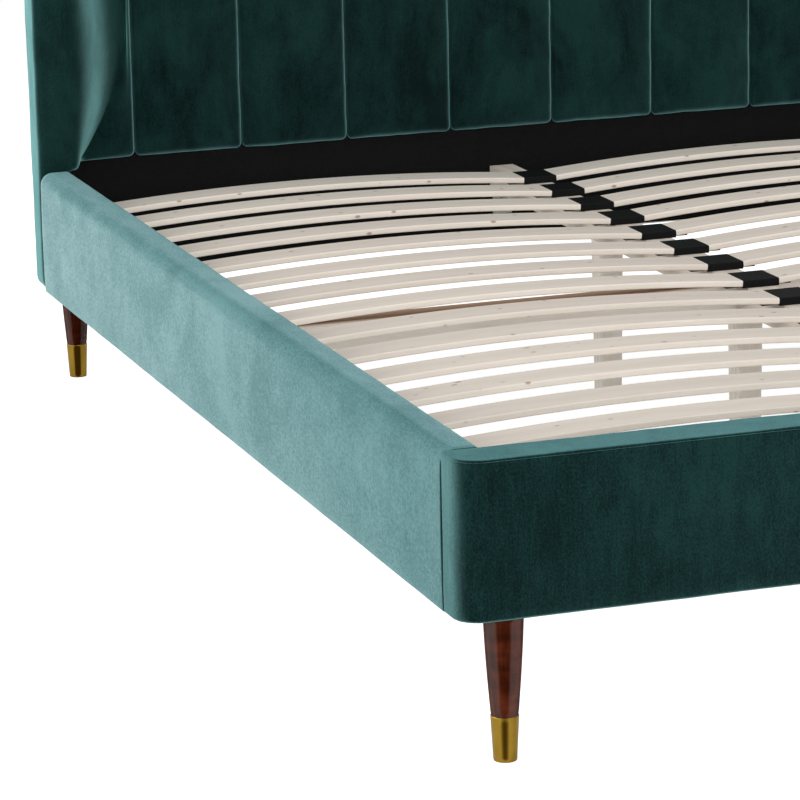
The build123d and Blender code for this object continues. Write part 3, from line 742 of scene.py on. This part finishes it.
def foldRun(z, rolled):
    # from the wing's face over the fold and along the narrow channel to the seam: distance from the
    # middle of the bed, and depth; rolled is 1 at the very end of the rounded hem and top
    lip = narrowChannel["lip"]
    rise = max(0, min(1, (z - fold["bottom"]) / (fold["full"] - fold["bottom"])))
    reach = between(fold["lowReach"], fold["fullReach"], 1 - (1 - rise) ** 2)
    width = between(fold["lowWidth"], fold["fullWidth"], rise)
    pinch = between(fold["lowPinch"], fold["fullPinch"], rise)
    start, end = railInnerX - reach + width / 2, railInnerX - reach - width / 2
    end += (halfWidth - channelPitch + lip - end) * fold["tail"] * rise
    early = between(fold["earlyShare"], 1, min(1, fold["earlyRise"] * rise))
    start = min(start + fold["early"] * early, railInnerX - fold["railGap"])
    faceY = headFrontY + wing["topRadius"] * rolled
    floorY = headFrontY + narrowChannel["floorDepth"] + lip * narrowChannel["rolledLip"] * rolled
    seamX = halfWidth - channelPitch + narrowChannel["corner"] * rolled
    lipX = seamX + lip
    run = []
    for share in shares(fold["steps"]):
        core = max(0, min(1, (share - fold["coreStart"]) / fold["coreSpan"]))
        steep = core ** 3 * (6 * core ** 2 - 15 * core + 10)
        bend = fold["softShare"] * smoothStep(share) + (1 - fold["softShare"]) * steep
        run.append((between(start, end, 1 - (1 - share) ** pinch), between(faceY, floorY, bend)))
    for share in shares(narrowChannel["floorSteps"], 1):
        bulge = narrowChannel["crown"] * math.sin(math.pi * share) * (1 - rolled)
        drop = narrowChannel["rolledDrop"] * share * rolled
        run.append((between(end, lipX, share), floorY - bulge + drop))
    lipY = run[-1][1]
    backY = headFrontY + wing["panelDepth"]
    for step in range(1, narrowChannel["lipSteps"] + 1):
        angle = math.pi / 2 * step / narrowChannel["lipSteps"]
        curl = (backY - lipY) * (1 - math.cos(angle)) * narrowChannel["lipCurl"]
        run.append((lipX - lip * math.sin(angle), lipY + curl))
    run.append((seamX, backY))
    return run


def wingLoop(backX, z, inset, outerInset, rolled):
    # plan outline of a wing at one height, as distances from the middle and depths
    front = headFrontY + inset
    outer = halfWidth - outerInset
    bendY = headFrontY + wing["straightDepth"]
    backY = headFrontY + wing["backDepth"]
    panelY = headFrontY + wing["panelDepth"]
    corner = max(wing["leastCorner"], wing["cornerRadius"] - inset)
    cornerX = outer - corner
    backOuter = backX - outerInset
    points = []
    for share in shares(wing["flareSteps"])[:-1]:
        points.append((between(backOuter, outer, share), between(backY, bendY, share)))
    for step in range(wing["sideSteps"]):
        points.append((outer, bendY + (front + corner - bendY) * step / wing["sideSteps"]))
    turn = edgeBends(corner, wing["cornerSteps"])
    points += [(outer - along, front + further) for along, further in turn]
    for step in range(1, wing["faceSteps"] + 1):
        points.append((cornerX + (railInnerX - cornerX) * step / wing["faceSteps"], front))
    if z < fold["bottom"]:
        run = [(railInnerX, depth) for across, depth in foldRun(fold["bottom"], 1)]
    else:
        run = foldRun(z, rolled)
    points += run
    points.append(((run[-1][0] + railInnerX) / 2, panelY + wing["panelLift"]))
    points += [(railInnerX - inward, panelY + further) for inward, further in wing["innerSide"]]
    points += [(railInnerX - inward, backY + further) for inward, further in wing["innerBack"]]
    points.append(((backOuter + points[-1][0]) / 2, backY))
    return points


def makeWing(hand, side):
    node = "wing_pad_" + hand
    low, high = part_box(node)
    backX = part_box("headboard_back")[1].x
    bottom, topRadius, pitch = fold["bottom"], wing["topRadius"], wing["levelPitch"]
    ends = edgeBends(topRadius, wing["bendSteps"])
    levels = []
    for along, inset in edgeBends(wing["hemRadius"], wing["bendSteps"]):
        levels.append((low.z + along, 0, min(inset, wing["hemInset"]), 0))
    hemTop = low.z + wing["hemRadius"]
    levels += [(z, 0, 0, 0) for z in evenSteps(hemTop, bottom - wing["foldClear"], pitch)]
    levels.append((bottom - wing["foldEdge"], 0, 0, 0))
    levels += [(bottom + along, 0, 0, inset / topRadius) for along, inset in ends]
    levels += [(z, 0, 0, 0) for z in evenSteps(bottom + topRadius, high.z - topRadius, pitch)]
    levels += [(high.z - along, inset, inset, inset / topRadius) for along, inset in reversed(ends)]
    loops = [[(side * x, y, level[0]) for x, y in wingLoop(backX, *level)] for level in levels]
    pad = loftLoops("wing_" + hand, loops)
    restlessSurface(pad, wing, side)
    finishPiece(pad, velvet, [node])


for hand, side in sides.items():
    makeWing(hand, side)
print("wings made")


# the seven wide channels of the headboard
channel = {
    "count": 7, "sideRadius": 0.008, "cornerRadius": 0.011, "leastRadius": 0.001, "backRadius": 0.0005,
    "frontDepth": 0.084, "crown": 0.0085, "crownPower": 2.6, "hemCrown": 0.55, "hemFade": 0.03,
    "hemSlope": 0.8, "pitch": 0.006, "levelPitch": 0.007, "bendSteps": 6,
    "unrest": 0.0012, "unrestSize": 0.06, "seed": 20, "seedStep": 1.7, "fill": 0.8, "heldDepth": 0.001,
}


def makeChannel(index):
    node = f"channel_pad_{index}"
    low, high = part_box(node)
    flatY = headFrontY + channel["frontDepth"] + channel["crown"]
    middle, half = (low.x + high.x) / 2, (high.x - low.x) / 2
    flat = [(low.x, high.y, 0), (low.x, flatY, 0), (high.x, flatY, 0), (high.x, high.y, 0)]
    runs = outlineRuns(flat, channel["pitch"])
    loops = []
    levels = endedSteps(low.z, high.z, channel["cornerRadius"], channel["levelPitch"], channel["bendSteps"])
    for z, inset in levels:
        left, right = low.x + inset, high.x - inset
        frontY = flatY + inset * channel["hemSlope"]
        radius = max(channel["leastRadius"], channel["sideRadius"] - inset)
        outline = roundOutline([
            (left, high.y, channel["backRadius"]), (left, frontY, radius),
            (right, frontY, radius), (right, high.y, channel["backRadius"]),
        ], runs)
        end = smoothStep(min(1, (z - low.z) / channel["hemFade"], (high.z - z) / channel["hemFade"]))
        fullness = channel["crown"] * between(channel["hemCrown"], 1, end)
        loop = []
        for point in outline:
            across = min(1, abs(point.x - middle) / half)
            front = max(0, min(1, (high.y - point.y) / (high.y - flatY)))
            lift = fullness * (1 - across ** channel["crownPower"]) * front
            loop.append((point.x, point.y - lift, z))
        loops.append(loop)
    pad = loftLoops(f"channel_{index}", loops)
    restlessSurface(pad, channel, index * channel["seedStep"])

    def heldAt(place):
        # sewn at the seams and the hems, and flat against the panel behind
        if place.y > flatY + channel["heldDepth"]:
            return 1
        inward = min(half - abs(place.x - middle), place.z - low.z, high.z - place.z)
        return 1 - smoothStep((inward - cover["seamFree"]) / cover["seamFade"])

    print(f"channel {index} swelled by {settleCover(pad, heldAt) * 1000:.1f} mm")
    finishPiece(pad, velvet, [node])


for index in range(1, channel["count"] + 1):
    makeChannel(index)
print("channels made")


# back of the headboard, turned over the top to the channels
headBack = {
    "edgeRadius": 0.010, "hemRadius": 0.002, "foldRadius": 0.0005, "sideRadius": 0.006, "stripDrop": 0.018,
    "pitch": 0.014, "stationPitch": 0.014, "unrest": 0.0012, "unrestSize": 0.16, "seed": 41, "fill": 0.7,
}


def makeHeadBack():
    low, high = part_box("headboard_back")
    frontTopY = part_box("headboard_panel")[0].y
    coverY = headFrontY + wing["backDepth"]
    stripZ = high.z - headBack["stripDrop"]
    corners = [
        (frontTopY, stripZ, headBack["foldRadius"]),
        (coverY, stripZ, headBack["foldRadius"]),
        (coverY, low.z, headBack["hemRadius"]),
        (high.y, low.z, headBack["edgeRadius"]),
        (high.y, high.z, headBack["edgeRadius"]),
        (frontTopY, high.z, headBack["hemRadius"]),
    ]
    runs = outlineRuns(corners, headBack["pitch"])
    outline = [(point.x, point.y) for point in roundOutline(corners, runs)]
    loops = []
    for x, inset in endedSteps(low.x, high.x, headBack["sideRadius"], headBack["stationPitch"]):
        top, bottom = high.z - inset, low.z + inset
        loops.append([(x, min(y, high.y - inset), max(min(z, top), bottom)) for y, z in outline])
    rearCover = loftLoops("headboard_rear_cover", loops)
    restlessSurface(rearCover, headBack)
    finishPiece(rearCover, velvet, ["headboard_back"])


makeHeadBack()


# black cloth stretched over the panel under the channels
liningCloth = {
    "pitch": 0.012, "tuck": 0.013, "turnRadius": 0.0004, "sharpAngle": 60,
    "unrest": 0.0006, "unrestSize": 0.05, "seed": 51,
}


def makeLining():
    low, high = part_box("headboard_lining")
    topZ, radius = high.z + liningCloth["tuck"], liningCloth["turnRadius"]
    corners = [(low.y, topZ, radius), (low.y, low.z, radius), (high.y, low.z, radius), (high.y, topZ, radius)]
    outline = roundOutline(corners, outlineRuns(corners, liningCloth["pitch"]), bend=2)
    stations = [low.x] + evenSteps(low.x, high.x, liningCloth["pitch"]) + [high.x]
    loops = [[(x, point.x, point.y) for point in outline] for x in stations]
    cloth = loftLoops("lining_cloth", loops, liningCloth["sharpAngle"])
    restlessSurface(cloth, liningCloth)
    finishPiece(cloth, lining, ["headboard_lining"])


makeLining()
print("headboard back and lining made")


# slats: one bowed slat with round edges, mirrored and repeated down the bed
slat = {"rows": 15, "arcSteps": 48, "edgeSteps": 5, "mirrorSeed": 31.0, "sharpAngle": 40}
firstSlat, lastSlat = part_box("slat_row_01"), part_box("slat_row_15")
firstY, lastY = ((low.y + high.y) / 2 for low, high in (firstSlat, lastSlat))
slatInputs = {
    "Rows": ("Int", slat["rows"]), "First Y": ("Float", firstY),
    "Pitch": ("Float", (firstY - lastY) / (slat["rows"] - 1)),
    "Width": ("Float", firstSlat[1].y - firstSlat[0].y), "Thickness": ("Float", 0.010),
    "Edge Radius": ("Float", 0.0028), "Camber": ("Float", 0.0175), "Seat": ("Float", firstSlat[0].z),
    "Inner X": ("Float", 0.0303), "Outer X": ("Float", firstSlat[1].x), "Seed": ("Int", 5),
    "Material": ("Material", slatWood),
}


def slatTree():
    tree = bpy.data.node_groups.new("slatRows", "GeometryNodeTree")
    tree.interface.new_socket("Geometry", in_out="INPUT", socket_type="NodeSocketGeometry")
    tree.interface.new_socket("Geometry", in_out="OUTPUT", socket_type="NodeSocketGeometry")
    for name, (kind, value) in slatInputs.items():
        tree.interface.new_socket(name, in_out="INPUT", socket_type="NodeSocket" + kind)
    given = addNode(tree, "NodeGroupInput").outputs

    def combine(**axes):
        return addNode(tree, "ShaderNodeCombineXYZ", axes).outputs[0]

    centreZ = mathNode(tree, "ADD", given["Seat"], mathNode(tree, "DIVIDE", given["Thickness"], 2.0))
    middleX = mathNode(tree, "DIVIDE", mathNode(tree, "ADD", given["Inner X"], given["Outer X"]), 2.0)
    arc = addNode(tree, "GeometryNodeCurveArc", {
        "Resolution": slat["arcSteps"],
        "Start": combine(X=given["Inner X"], Z=centreZ),
        "Middle": combine(X=middleX, Z=mathNode(tree, "ADD", centreZ, given["Camber"])),
        "End": combine(X=given["Outer X"], Z=centreZ),
    }, mode="POINTS").outputs["Curve"]
    upright = addNode(tree, "GeometryNodeSetCurveNormal", {"Curve": arc}, mode="Z_UP").outputs["Curve"]
    section = addNode(tree, "GeometryNodeCurvePrimitiveQuadrilateral", {
        "Width": given["Width"], "Height": given["Thickness"],
    }, mode="RECTANGLE").outputs["Curve"]
    rounded = addNode(tree, "GeometryNodeFilletCurve", {
        "Curve": section, "Count": slat["edgeSteps"], "Radius": given["Edge Radius"],
    }, mode="POLY").outputs["Curve"]
    swept = addNode(tree, "GeometryNodeCurveToMesh", {
        "Curve": upright, "Profile Curve": rounded, "Fill Caps": True,
    }).outputs["Mesh"]
    mirrored = addNode(tree, "GeometryNodeTransform", {"Geometry": swept, "Scale": (-1, 1, 1)})
    flipped = addNode(tree, "GeometryNodeFlipFaces", {"Mesh": mirrored.outputs["Geometry"]}).outputs["Mesh"]
    rows = addNode(tree, "GeometryNodeMeshLine", {
        "Count": given["Rows"], "Start Location": combine(Y=given["First Y"]),
        "Offset": combine(Y=times(tree, given["Pitch"], -1.0)),
    }, mode="OFFSET").outputs["Mesh"]
    both = addNode(tree, "GeometryNodeJoinGeometry")
    for half, seedShift in ((swept, 0.0), (flipped, slat["mirrorSeed"])):
        copies = addNode(tree, "GeometryNodeInstanceOnPoints", {"Points": rows, "Instance": half})
        seed = mathNode(tree, "ADD", given["Seed"], seedShift)
        tone = addNode(tree, "FunctionNodeRandomValue", {"Seed": seed}, data_type="FLOAT").outputs[1]
        toned = addNode(tree, "GeometryNodeStoreNamedAttribute", {
            "Name": "slatTone", "Geometry": copies.outputs["Instances"], "Value": tone,
        }, data_type="FLOAT", domain="INSTANCE")
        setInputs(tree, both, {"Geometry": toned.outputs["Geometry"]})
    real = addNode(tree, "GeometryNodeRealizeInstances", {"Geometry": both.outputs["Geometry"]})
    smooth = addNode(tree, "GeometryNodeSetShadeSmooth", {"Geometry": real.outputs["Geometry"]})
    painted = addNode(tree, "GeometryNodeSetMaterial", {
        "Geometry": smooth.outputs["Geometry"], "Material": given["Material"],
    })
    addNode(tree, "NodeGroupOutput", {"Geometry": painted.outputs["Geometry"]})
    return tree


def keepResult(piece):
    # the evaluated mesh becomes the piece's own, and the modifiers go
    view = bpy.context.evaluated_depsgraph_get()
    mesh = bpy.data.meshes.new_from_object(piece.evaluated_get(view))
    piece.modifiers.clear()
    piece.data = mesh


def makeSlats():
    tree = slatTree()
    slats = linkObject("slats", bpy.data.meshes.new("slats"))
    modifier = slats.modifiers.new("nodes", "NODES")
    modifier.node_group = tree
    for item in tree.interface.items_tree:
        if item.name in slatInputs:
            modifier[item.identifier] = slatInputs[item.name][1]
    keepResult(slats)
    slats.data.set_sharp_from_angle(angle=math.radians(slat["sharpAngle"]))
    slats.modifiers.new("flatFaces", "WEIGHTED_NORMAL").keep_sharp = True
    keepResult(slats)
    # how far each point faces the front or back, where the slat gets painted light
    sideFacingShare = slats.data.attributes.new("slatSideFacing", "FLOAT", "POINT")
    for vertex, entry in zip(slats.data.vertices, sideFacingShare.data):
        entry.value = abs(vertex.normal.y)
    nodes = [f"slat_row_{row:02d}" for row in range(1, slat["rows"] + 1)]
    finishPiece(slats, slatWood, nodes)
    print("slats made:", len(slats.data.polygons), "faces")


makeSlats()


# turned legs and their brass cups; the small pairs are how much wider and how far below the cup's top
legLook = {
    "segments": 72, "rings": 24, "sharpAngle": 50, "belly": 0.0008, "shoulder": 0.0006, "topRadius": 0.0256,
    "tenonEnd": (0.002, 0.012), "tenon": ((-0.0016, 0.004), (-0.0010, 0)), "chamfer": 0.001, "lift": 0.0005,
}
cupLook = {
    "bottomRadius": 0.015, "topRadius": 0.018, "rings": 12, "sharpAngle": 24, "edge": 0.0015,
    "edgeMiddle": 0.0004, "bandDrop": 0.002,
    "lip": ((0, 0.0016), (0.0001, 0.0010), (-0.0008, 0), (-0.0014, 0), (-0.0020, 0.003)),
}


def turnedPiece(name, centre, section, sharpAngle):
    # section: radius and height, from the bottom end up to the top one
    loops = [ring(centre, radius, z, legLook["segments"]) for radius, z in section]
    return loftLoops(name, loops, sharpAngle)


def legSection(cupTop, legTop):
    bottom, top = cupLook["topRadius"], legLook["topRadius"]
    inward, down = legLook["tenonEnd"]
    section = [(cupLook["bottomRadius"] - inward, cupTop - down)]
    section += [(bottom + wider, cupTop - below) for wider, below in legLook["tenon"]]
    for share in shares(legLook["rings"], 1):
        radius = between(bottom, top, share)
        radius += legLook["belly"] * math.sin(math.pi * share) - legLook["shoulder"] * (1 - share)
        rise = legTop - legLook["chamfer"] - legLook["lift"] - cupTop
        section.append((radius, cupTop + legLook["lift"] + rise * share))
    section.append((top - legLook["chamfer"], legTop))
    return section


def cupSection(cupTop):
    bottom, top, edge = cupLook["bottomRadius"], cupLook["topRadius"], cupLook["edge"]
    middle = cupLook["edgeMiddle"]
    section = [(bottom - edge, 0), (bottom - middle, middle), (bottom, edge)]
    for share in shares(cupLook["rings"], 1)[:-1]:
        section.append((between(bottom, top, share), between(edge, cupTop - cupLook["bandDrop"], share)))
    section += [(top + wider, cupTop - below) for wider, below in cupLook["lip"]]
    return section


for corner in ("front_left", "front_right", "rear_left", "rear_right"):
    legLow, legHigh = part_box("leg_" + corner)
    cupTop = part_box("ferrule_" + corner)[1].z
    centre = (legLow + legHigh) / 2
    leg = turnedPiece("turned_leg_" + corner, centre, legSection(cupTop, legHigh.z), legLook["sharpAngle"])
    finishPiece(leg, walnut, ["leg_" + corner])
    cup = turnedPiece("brass_cup_" + corner, centre, cupSection(cupTop), cupLook["sharpAngle"])
    finishPiece(cup, brass, ["ferrule_" + corner])
print("legs made")


# pieces that keep their CAD shape
carried = (
    (frameWood, ("side_board", "slat_ledge", "centre_rail")),
    (crossWood, ("foot_board", "cross_rail", "headboard_battens")),
    (postWood, ("centre_post", "wing_board", "headboard_upright")),
    (panelWood, ("headboard_panel",)),
    (blackPlastic, ("centre_caps", "end_caps")),
    (steel, ("brackets", "bolts")),
)
for name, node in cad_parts.items():
    for material, starts in carried:
        if name.startswith(starts):
            node.data.materials.clear()
            node.data.materials.append(material)


# floor, light and camera
studio = {
    "floorRadius": 9.0, "floorSides": 96, "floorColour": (0.93, 0.93, 0.93, 1), "floorGlow": 0.62,
    "fadeStart": 2.6, "fadeEnd": 5.5, "worldLight": 0.66, "lampTarget": (0, 0, 0.3),
}
lamps = {
    "topLight": {"place": (-1.2, -1.0, 4.2), "power": 12, "size": 3.5},
    "sideLight": {"place": (-5.0, 0.5, 2.2), "power": 125, "size": 3.0},
    "frontLight": {"place": (0.3, -6.6, 1.9), "power": 190, "size": 3.0},
}
view = {
    "place": (-2.37192, -5.363436, 1.580142), "turn": (1.328792, 0.020806, -0.331362),
    "focalPixels": 3864.7, "imagePixels": 800, "sensorWidth": 36,
}


def makeFloor():
    # a pale disc that glows a little to the camera and fades out before its edge
    points = ring(Vector((0, 0, 0)), studio["floorRadius"], 0, studio["floorSides"])
    floor = facePiece("studio_floor", points, [tuple(range(studio["floorSides"]))])
    material, tree, shader, place = newMaterial("paleFloor")
    setInputs(tree, shader, {
        "Base Color": studio["floorColour"], "Roughness": 0.9, "Specular IOR Level": 0.1,
    })
    distance = addNode(tree, "ShaderNodeVectorMath", {0: place}, operation="LENGTH").outputs["Value"]
    fade = remap(tree, distance, studio["fadeStart"], studio["fadeEnd"], smooth=True)
    clear = addNode(tree, "ShaderNodeBsdfTransparent").outputs[0]
    seen = addNode(tree, "ShaderNodeLightPath").outputs["Is Camera Ray"]
    strength = times(tree, seen, studio["floorGlow"])
    glow = addNode(tree, "ShaderNodeEmission", {"Strength": strength}).outputs[0]
    lit = addNode(tree, "ShaderNodeAddShader", {0: shader.outputs[0], 1: glow}).outputs[0]
    mix = addNode(tree, "ShaderNodeMixShader", {0: fade, 1: lit, 2: clear}).outputs[0]
    setInputs(tree, tree.nodes["Material Output"], {"Surface": mix})
    floor.data.materials.append(material)


def makeWorld():
    # white to the eye and in mirrors, dimmer as light
    world = bpy.data.worlds.new("studioWorld")
    bpy.context.scene.world = world
    world.use_nodes = True
    tree = world.node_tree
    path = addNode(tree, "ShaderNodeLightPath").outputs
    seen = mathNode(tree, "MAXIMUM", path["Is Camera Ray"], path["Is Glossy Ray"])
    strength = remap(tree, seen, 0, 1, studio["worldLight"], 1)
    setInputs(tree, tree.nodes["Background"], {"Color": (1, 1, 1, 1), "Strength": strength})


def makeLamp(name, values):
    lamp = bpy.data.lights.new(name, "AREA")
    lamp.energy = values["power"]
    lamp.size = values["size"]
    holder = linkObject(name, lamp)
    holder.location = values["place"]
    aim = Vector(studio["lampTarget"]) - Vector(values["place"])
    holder.rotation_euler = aim.to_track_quat("-Z", "Y").to_euler()


def makeCamera():
    camera = bpy.data.cameras.new("photoCamera")
    camera.sensor_width = view["sensorWidth"]
    camera.lens = view["focalPixels"] / view["imagePixels"] * camera.sensor_width
    holder = linkObject("photoCamera", camera)
    holder.location = view["place"]
    holder.rotation_euler = view["turn"]
    bpy.context.scene.camera = holder


makeFloor()
makeWorld()
for name, values in lamps.items():
    makeLamp(name, values)
makeCamera()
bpy.context.scene.view_settings.view_transform = "Standard"
print("studio made")
